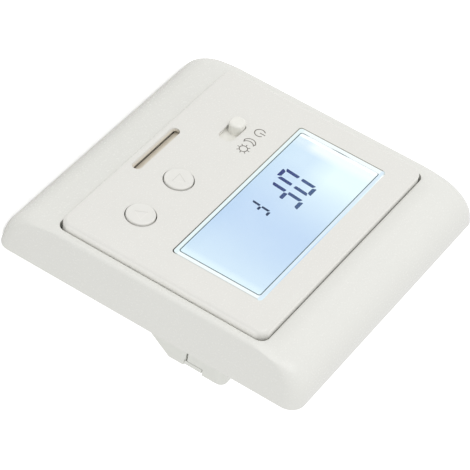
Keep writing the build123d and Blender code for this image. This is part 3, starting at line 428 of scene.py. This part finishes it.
def arc(centre, radius, start, end, steps=24):
    """Points on part of a circle, angles in degrees from the right."""
    turn = [math.radians(start + (end - start) * i / steps) for i in range(steps + 1)]
    return [(centre[0] + radius * math.cos(t), centre[1] + radius * math.sin(t)) for t in turn]


PRINT_THICKNESS = 0.00002
PROUD = 0.00001


def flat(name, shapes, front, body, material):
    """A thin piece of shapes in millimetres, facing the front, its face at the depth given in metres."""
    mesh = bpy.data.meshes.new(name)
    work = bmesh.new()
    for shape in shapes:
        work.faces.new([work.verts.new((x * MM, front, z * MM)) for x, z in shape])
    bmesh.ops.remove_doubles(work, verts=work.verts, dist=1e-7)
    back = bmesh.ops.extrude_face_region(work, geom=work.faces[:])["geom"]
    back_points = [part for part in back if isinstance(part, bmesh.types.BMVert)]
    bmesh.ops.translate(work, verts=back_points, vec=(0, PRINT_THICKNESS, 0))
    bmesh.ops.recalc_face_normals(work, faces=work.faces)
    work.to_mesh(mesh)
    work.free()
    mesh.materials.append(material)
    piece = bpy.data.objects.new(name, mesh)
    bpy.context.scene.collection.objects.link(piece)
    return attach(piece, body)


print("a circle becomes", len(ribbon(arc((0, 0), 1, 0, 360), 0.2)), "strips")

# %% [markdown]
# ## Power, moon and sun
# The switch has three places, and a thin grey print above it says which: off, night and day.
# A font might have such signs, but another font would change them. Here each is built from circles and
# strokes, so it can be drawn again at any size.


# %% Print the three signs
def ink(tone, rough=0.55):
    """Printing ink, a little uneven."""

    def make(tree):
        place = tree.add("TexCoord", out="Object")
        speck = tree.add("TexNoise", sockets={"Vector": place, "Scale": 5200.0, "Detail": 2.0})
        pale = tuple(min(c * 1.25, 1.0) for c in tone[:3]) + (1.0,)
        sockets = {"Base Color": shade(speck, tone, pale), "Roughness": rough}
        return tree.add("BsdfPrincipled", sockets=sockets)

    return make


ROW = -9.35
POWER_AT, MOON_AT, SUN_AT = -20.1, -15.2, -12.49
power = ribbon(arc((POWER_AT, ROW), 1.35, 128, 412), 0.26)
power += ribbon([(POWER_AT, ROW), (POWER_AT, ROW + 1.55)], 0.26)
moon_outside = arc((MOON_AT, ROW - 0.05), 1.62, 100, 258)
moon_inside = arc((MOON_AT + 0.95, ROW - 0.03), 1.55, 244, 116)
moon = ribbon(moon_outside + moon_inside, 0.24, closed=True)
sun = ribbon(arc((SUN_AT, ROW), 1.05, 0, 360, steps=28)[:-1], 0.24, closed=True)
for step in range(8):
    angle = math.radians(45 * step)
    ray = [(SUN_AT + r * math.cos(angle), ROW + r * math.sin(angle)) for r in (1.22, 1.75)]
    sun += ribbon(ray, 0.22)
grey_ink = finish("grey_ink", ink(colour(102, 98, 91)))
flat("mode_signs", power + moon + sun, face - PROUD, "base", grey_ink)
print("signs made of", len(power + moon + sun), "strips")

# %% [markdown]
# ## Triangles on the keys
# The keys carry an outline of a triangle, up and down, cut so shallow that it shows only as a faint line.
# A groove that thin would need a very fine mesh, so ribbons in the tone of a groove stand for it.
# A side whose wall turns away from the light is in shade, and the other sides hardly show.

# %% Engrave the keys
TIP, FOOT, HALF_WIDTH, GROOVE = 1.75, 0.9, 1.6, 0.2
OFF_ACROSS, OFF_UP = 0.18, 0.16
shaded = finish("groove_shaded", ink(colour(205, 204, 199), rough=0.6))
lit = finish("groove_lit", ink(colour(225, 224, 219), rough=0.6))
for key, way in (("up", 1), ("down", -1)):
    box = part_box(f"{key}_button")
    x, z = ((box[0][i] + box[1][i]) / 2 / MM + off for i, off in ((0, OFF_ACROSS), (2, OFF_UP)))
    tip = (x, z + way * TIP)
    left, right = ((x + s * HALF_WIDTH, z - way * FOOT) for s in (-1, 1))
    dark_sides = ribbon([right, left, tip] if way > 0 else [left, tip], GROOVE)
    pale_sides = ribbon([tip, right] if way > 0 else [tip, right, left], GROOVE)
    front = box[0].y - PROUD
    flat(f"{key}_triangle_shaded", dark_sides, front, f"{key}_key", shaded)
    flat(f"{key}_triangle_lit", pale_sides, front, f"{key}_key", lit)
    print(key, "triangle at", round(x, 2), round(z, 2), "mm")

# %% [markdown]
# ## The lit display
# Behind the clear window lies a liquid crystal glass, lit by lamps at its left end through a light guide.
# The light is not even: almost white at the lamps, most of all above, bluest just right of the middle, and
# pale again at the far end. We could place lamps inside the model. A glow painted over the glass itself is
# steadier, and it also shows in other programs.

# %% Light the glass
BLUEST = 3.2
LAMP_END = -24.6
FAR_END = 22.2


def lit_glass(tree):
    """Glass that glows, bluest at one place and paler towards both ends."""
    x, _, z = axes_in_mm(tree)
    towards_lamps = clamp((BLUEST - x) / 23.0) ** 1.45 * (0.4 + 0.6 * clamp((z - 4.6) / 7.0))
    towards_far_end = clamp((x - BLUEST) / 34.0) ** 1.6 + clamp((x - FAR_END) / 1.6) * 0.3
    at_lamps = clamp((LAMP_END - x) / 2.6) * (0.35 + 0.65 * clamp((z - 0.5) / 2.5))
    place = tree.add("TexCoord", out="Object")
    cloud = tree.add("TexNoise", sockets={"Vector": place, "Scale": 90.0, "Detail": 2.0})
    share = clamp(towards_lamps + towards_far_end + (cloud - 0.5) * 0.16)
    light = shade(share, colour(189, 215, 242), colour(231, 252, 255))
    light = shade(at_lamps, light, colour(245, 255, 255))
    sockets = {"Base Color": (0.02, 0.02, 0.03, 1), "Roughness": 0.2, "Specular IOR Level": 0.2}
    sockets |= {"Emission Color": light, "Emission Strength": 1.0}
    return tree.add("BsdfPrincipled", sockets=sockets)


dress(finish("lit_glass", lit_glass), "lcd_front_glass")
print("glass of", sides(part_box("lcd_front_glass")), "mm")

# %% [markdown]
# ## Window and holder
# The window is a clear moulding flush with the panel, with a few smears on it. The white holder round the
# glass leads light to its front. We could trace the light through the plastic, which is slow and grainy.
# A nearly clear surface and a holder that glows only at its front look the same.

# %% Clear the window and light its holder
GLOW_ENDS = -6.5
GLOW_FADES = 2.0


def clear_plastic(tree):
    """Clear plastic with faint smears in its shine."""
    place = tree.add("TexCoord", out="Object")
    smear = tree.add("TexNoise", sockets={"Vector": place, "Scale": 90.0, "Detail": 4.0})
    sockets = {"Base Color": (0.9, 0.95, 1.0, 1), "Roughness": 0.05 + smear * 0.06, "Alpha": 0.03}
    return tree.add("BsdfPrincipled", sockets=sockets)


def glowing(tone, strength):
    """White plastic that lets light through at its front and none at its back."""
    dimmer = tuple(c * 0.96 for c in tone[:3]) + (1.0,)

    def make(tree):
        place = tree.add("TexCoord", out="Object")
        cloud = tree.add("TexNoise", sockets={"Vector": place, "Scale": 120.0, "Detail": 2.0})
        _, y, _ = axes_in_mm(tree)
        front = clamp((GLOW_ENDS - y) / GLOW_FADES)
        light = shade(front, (0.0, 0.0, 0.0, 1.0), shade(cloud, dimmer, tone))
        white = shade(front, (0.75, 0.76, 0.76, 1.0), (0.25, 0.26, 0.27, 1.0))
        sockets = {"Base Color": white, "Roughness": 0.3}
        sockets |= {"Emission Color": light, "Emission Strength": strength}
        return tree.add("BsdfPrincipled", sockets=sockets)

    return make


dress(finish("clear_plastic", clear_plastic), "display_window")
dress(finish("holder_glow", glowing(colour(244, 252, 255), strength=0.95)), "lcd_holder")
print("window of", sides(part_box("display_window")), "mm")

# %% [markdown]
# ## Round the edge of the window
# Three thin frames lie round the display. Outermost is painted shade in the gap between lens and panel, a
# dark line where we look into it, with painted light at its right end. Then comes a rim of the lens that the
# light makes white, and then a fine printed line.
# We could draw each by hand. All three are bands between two rounded rectangles, so one function draws them.


# %% Make a band
def rounded_box(box, radius, steps=6):
    """Points round a rectangle with round corners, which is given as left, low, right and high."""
    left, low, right, high = box
    points = arc((right - radius, high - radius), radius, 0, 90, steps)
    points += arc((left + radius, high - radius), radius, 90, 180, steps)
    points += arc((left + radius, low + radius), radius, 180, 270, steps)
    return points + arc((right - radius, low + radius), radius, 270, 360, steps)


def grown(box, by):
    """The same rectangle with its four sides moved out."""
    return (box[0] - by, box[1] - by, box[2] + by, box[3] + by)


def band(outer, inner, radius):
    """Strips between two rounded rectangles."""
    far, near = rounded_box(outer, radius), rounded_box(inner, max(radius - 0.2, 0.1))
    return [(far[i - 1], far[i], near[i], near[i - 1]) for i in range(len(far))]


FLANGE = 1.7
low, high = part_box("display_window")
lens = grown((low.x / MM, low.z / MM, high.x / MM, high.z / MM), -FLANGE)
printed = (-27.25, -1.5, 27.5, 21.2)
print("lens", [round(v, 2) for v in lens], "with a line printed at", printed)


# %% Draw the three frames
def gap_shade(tree):
    """Painted shade: dark at the right, greyer to the left, with painted light from the window at its right
    end.
    """
    x, _, z = axes_in_mm(tree)
    # painted shade along the gap
    along = shade(clamp((29.0 - x) / 50.0), colour(44, 42, 34), colour(128, 128, 116))
    # painted light from the window at the gap's right end
    window_painted_light = clamp((x - 28.0) * 4.0) * clamp((z + 2.2) / 1.2)
    tone = shade(window_painted_light, along, colour(206, 212, 208))
    return tree.add("BsdfPrincipled", sockets={"Base Color": tone, "Roughness": 0.6})


def rim_light(tree):
    """White plastic lit from behind, a little dimmer below and bluer above."""
    _, _, z = axes_in_mm(tree)
    below = shade(clamp((-1.2 - z) * 3.0), colour(243, 252, 252), colour(224, 243, 244))
    tone = shade(clamp((z - 21.1) * 3.0), below, colour(208, 231, 246))
    sockets = {"Base Color": (0.25, 0.26, 0.27, 1), "Roughness": 0.3}
    return tree.add("BsdfPrincipled", sockets=sockets | {"Emission Color": tone, "Emission Strength": 0.72})


def line_print(tree):
    """A dark print, drowned by the lamps at its left end but for two short stretches."""
    x, _, z = axes_in_mm(tree)
    kept_above = clamp(1 - abs(z - 10.0) / 3.0)
    kept_below = clamp(0.8 - abs(z + 0.6) / 2.0)
    drowned = clamp((-27.0 - x) * 6.0) * (1 - kept_above) * (1 - kept_below)
    sockets = {"Base Color": colour(74, 97, 103), "Roughness": 0.4, "Alpha": 1 - drowned * 0.92}
    return tree.add("BsdfPrincipled", sockets=sockets)


GAP_TOP = 21.0
# the gap is a dark ribbon of painted shade
gap = band(grown(lens, 0.22), grown(lens, -0.08), radius=0.9)
gap = [strip for strip in gap if min(z for _, z in strip) < GAP_TOP]
flat("window_gap_painted_shade", gap, face - PROUD, "base", finish("gap_shade", gap_shade))
rim = band(grown(lens, -0.05), printed, radius=0.8)
flat("window_rim", rim, face - 2 * PROUD, "base", finish("rim_light", rim_light))
line = band(grown(printed, 0.12), grown(printed, -0.12), radius=0.7)
flat("window_line", line, face - 3 * PROUD, "base", finish("line_print", line_print))
print("strips in gap, rim and line:", len(gap), len(rim), len(line))

# %% [markdown]
# ## Seven strokes for a letter
# A digit of a display has seven strokes, and which of them are dark spells the sign. This one says OFF,
# with the last letter small. We could set it in a font, but a display has no font. All the strokes share one
# slanted grid, so a letter is only a place, a size and a list of strokes. They are mitred where two meet and
# stop a little short, as on the real glass.

# %% Make a letter
STROKES = {
    "low": ((0, 0), (1, 0)),
    "middle": ((0, 0.5), (1, 0.5)),
    "top": ((0, 1), (1, 1)),
    "left_low": ((0, 0), (0, 0.5)),
    "left_top": ((0, 0.5), (0, 1)),
    "right_low": ((1, 0), (1, 0.5)),
    "right_top": ((1, 0.5), (1, 1)),
}
SLANT = 0.098


def letter(corner, dark, width, height, stroke):
    """Outlines of the dark strokes of one sign, whose lower left corner is given."""

    def grid(column, level):
        return Vector((corner[0] + column * width + SLANT * level * height, corner[1] + level * height))

    outlines = []
    for name in dark:
        start, end = (grid(*p) for p in STROKES[name])
        along = (end - start).normalized()
        side = Vector((-along.y, along.x)) * (stroke / 2)
        if side.dot((start + end) / 2 - grid(0.5, 0.5)) < 0:
            side = -side
        outline = []
        for tip, inward, (_, level) in ((start, along, STROKES[name][0]), (end, -along, STROKES[name][1])):
            stop, mitre = (0.35, 0.22) if level in (0, 1) else (0.45, 0.06)
            outline.append(tip + inward * stroke * (stop - mitre) + side)
            outline.append(tip + inward * stroke * (stop + mitre) - side)
        outlines.append([tuple(outline[k]) for k in (0, 1, 3, 2)])
    return outlines


def rounded(outline, radius, steps=3):
    """The outline with its corners rounded."""
    points = []
    count = len(outline)
    for i in range(count):
        here, back, ahead = (Vector(outline[k % count]) for k in (i, i - 1, i + 1))
        a = here + (back - here).normalized() * radius
        b = here + (ahead - here).normalized() * radius
        for s in range(steps + 1):
            t = s / steps
            points.append(tuple(a * (1 - t) ** 2 + here * 2 * t * (1 - t) + b * t**2))
    return points


print("a stroke has", len(rounded(letter((0, 0), ["top"], 3, 9, 1)[0], 0.3)), "points")


# %% Write the word
def dark_crystal(tree):
    """Blue-black crystal, paler at the top of the large letters and darker in the small one."""
    x, _, z = axes_in_mm(tree)
    large = shade(clamp((z - 1.0) / 10.0), colour(36, 52, 122), colour(60, 88, 132))
    tone = shade(clamp((x + 3.0) * 2.0), large, colour(10, 44, 84))
    sockets = {"Base Color": tone, "Roughness": 0.6, "Specular IOR Level": 0.0}
    return tree.add("BsdfPrincipled", sockets=sockets)


RING = ["low", "top", "left_low", "left_top", "right_low", "right_top"]
STEM = ["middle", "top", "left_low", "left_top"]
LARGE = {"width": 3.39, "height": 9.37, "stroke": 1.05}
SMALL = {"width": 1.85, "height": 5.46, "stroke": 0.68}
large_strokes = letter((-15.99, 1.27), RING, **LARGE) + letter((-9.71, 1.27), STEM, **LARGE)
strokes = [rounded(outline, 0.3) for outline in large_strokes]
strokes += [rounded(outline, 0.2) for outline in letter((-1.09, 1.06), STEM, **SMALL)]
crystal = finish("dark_crystal", dark_crystal)
glass_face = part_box("lcd_front_glass")[0].y
flat("display_strokes", strokes, glass_face - PROUD, "base", crystal)
print(len(strokes), "dark strokes")

# %% [markdown]
# ## The catch behind the slot
# A narrow slot at the lower edge takes the blade of a screwdriver. Behind it shows a tan piece of nylon:
# the catch that lets the cover go. Nylon is a little waxy and carries faint streaks along the way it flowed.
# Its face gets painted shade that darkens it towards its lower edge, and below that a black painted shadow
# from the panel's edge. We could let the lamps make that shade, but a tone that changes with the height does
# it at this size.

# %% Dress the catch
PAINTED_SHADE_FROM = -26.5
PAINTED_SHADE_HEIGHT = 1.3
PAINTED_SHADOW_BELOW = -26.38


def nylon(tree):
    """Waxy tan plastic with streaks across, with painted shade along its lower edge and a black painted
    shadow below it.
    """
    place = tree.add("TexCoord", out="Object")
    streak = tree.add("Mapping", sockets={"Vector": place, "Scale": (60.0, 900.0, 900.0)})
    flow = tree.add("TexNoise", sockets={"Vector": streak, "Scale": 1.0, "Detail": 3.0})
    _, _, z = axes_in_mm(tree)
    # painted shade: darker towards the lower edge of the catch
    unshaded_share = clamp((z - PAINTED_SHADE_FROM) / PAINTED_SHADE_HEIGHT + (flow - 0.5) * 0.3)
    painted_shade_tone = shade(unshaded_share, colour(172, 163, 146), colour(227, 220, 205))
    # painted shadow: black where the panel's edge shades the catch
    tone = shade(clamp((PAINTED_SHADOW_BELOW - z) * 8.0), painted_shade_tone, colour(70, 57, 40))
    bump = tree.add("Bump", sockets={"Strength": 0.25, "Distance": 0.00003, "Height": flow})
    return tree.add("BsdfPrincipled", sockets={"Base Color": tone, "Roughness": 0.45, "Normal": bump})


dress(finish("tan_nylon", nylon), "cover_catch")
print("catch of", sides(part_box("cover_catch")), "mm")

# %% [markdown]
# ## Metals and terminals
# On the back, wires are held by brass cages under slotted steel screws in a grey block. Both metals are
# stamped or turned and then plated: bright, with fine lines along one way and a dulled patch here and there.
# We could give them a plain mirror finish, but noise that is stretched along one axis gives the tool lines.


# %% Dress the metals
def plated(tone, rough, lines):
    """Plated metal with fine tool lines; lines is how many to the metre along each axis."""
    dull = tuple(c * 0.8 for c in tone[:3]) + (1.0,)

    def make(tree):
        place = tree.add("TexCoord", out="Object")
        tool = tree.add("Mapping", sockets={"Vector": place, "Scale": lines})
        scratch = tree.add("TexNoise", sockets={"Vector": tool, "Scale": 1.0, "Detail": 4.0})
        patch = tree.add("TexNoise", sockets={"Vector": place, "Scale": 300.0, "Detail": 2.0})
        bump = tree.add("Bump", sockets={"Strength": 0.2, "Distance": 0.00001, "Height": scratch})
        sockets = {"Base Color": shade(patch, dull, tone), "Metallic": 1.0, "Normal": bump}
        return tree.add("BsdfPrincipled", sockets=sockets | {"Roughness": rough + scratch * 0.15})

    return make


steel = finish("plated_steel", plated((0.66, 0.65, 0.63, 1), 0.22, lines=(4000.0, 400.0, 4000.0)))
dress(steel, "terminal_screws", "housing_screws", "board_screws", "slide_switch_shell")
brass = finish("brass", plated((0.78, 0.60, 0.30, 1), 0.2, lines=(300.0, 5000.0, 5000.0)))
dress(brass, "terminal_clamps")
block_finish = finish("block_plastic", moulded(colour(92, 95, 98), 0.5, grain=0.00004, mottle=0.08))
dress(block_finish, "terminal_block")
print("steel on", [name for name in nodes if nodes[name].data.materials[0] == steel])

# %% [markdown]
# ## Boards
# Inside are two circuit boards. Nobody sees them until the cover is off, but a model that comes apart should
# still look right. The green lacquer lies over copper tracks, which show as paler straight lines.
# We could draw each track. A brick pattern with long bricks gives such lines in one node.


# %% Dress the boards
def lacquered_board(tree):
    """Green lacquer over copper tracks."""
    place = tree.add("TexCoord", out="Object")
    turned = tree.add("Mapping", sockets={"Vector": place, "Rotation": (math.pi / 2, 0.0, 0.0)})
    track = tree.add(
        "TexBrick",
        {"offset": 0.37, "squash": 1.6, "squash_frequency": 3},
        {"Vector": turned, "Scale": 160.0, "Mortar Size": 0.035, "Brick Width": 1.3, "Row Height": 0.28},
        out="Fac",
    )
    grain = tree.add("TexNoise", sockets={"Vector": place, "Scale": 800.0, "Detail": 2.0})
    lacquer = shade(grain, colour(22, 78, 48), colour(28, 90, 55))
    tone = shade(track * 0.7, lacquer, colour(70, 130, 82))
    bump = tree.add("Bump", sockets={"Strength": 0.4, "Distance": 0.00003, "Height": track})
    return tree.add("BsdfPrincipled", sockets={"Base Color": tone, "Roughness": 0.35, "Normal": bump})


dress(finish("board_lacquer", lacquered_board), "display_board", "power_board")
print("boards of", [sides(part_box(name)) for name in ("display_board", "power_board")], "mm")

# %% [markdown]
# ## Components
# A relay is a black box, a film capacitor a yellow one, and a varistor has a blue coating. All of them are
# moulded or dipped, so the function for moulded plastic makes them too, with other tones and more clouds.
# We could write a finish for each, but a loop over one short list shows better how they differ.

# %% Dress the components
switches = ["up_key_switch", "down_key_switch", "up_key_plunger", "down_key_plunger", "slide_switch_lever"]
black_parts = ["relay", "controller_chip", "board_header", "board_socket", *switches]
for name, tone, rough, grain, mottle, parts in (
    ("black_plastic", colour(38, 38, 40), 0.45, 0.00004, 0.2, black_parts),
    ("film_case", colour(214, 178, 62), 0.3, 0.00002, 0.1, ["film_capacitor"]),
    ("can_sleeve", colour(40, 42, 58), 0.3, 0.00002, 0.2, ["smoothing_capacitor"]),
    ("blue_coating", colour(45, 92, 160), 0.35, 0.00005, 0.15, ["varistor"]),
    ("brown_case", colour(92, 58, 40), 0.35, 0.00003, 0.15, ["fuse", "room_sensor"]),
    ("elastomer", colour(150, 150, 152), 0.6, 0.00004, 0.2, ["contact_strip"]),
    ("lamp_resin", colour(240, 238, 214), 0.3, 0.00002, 0.025, ["backlight_leds"]),
):
    dress(finish(name, moulded(tone, rough, grain, mottle=mottle)), *parts)
guide = finish("guide_plastic", glowing(colour(205, 226, 248), strength=0.6))
dress(guide, "backlight_guide", "lcd_rear_glass")
print("finishes in all:", len(bpy.data.materials))

# %% [markdown] ## Measure The dressed model has to stay as large as the solids. We could
# trust our eyes for that.

# %% Write the sizes and finish
boxes = {"cad": [list(v) for v in cad_box], "visual": [list(v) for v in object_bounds()]}
print({name: sides(box) for name, box in boxes.items()})
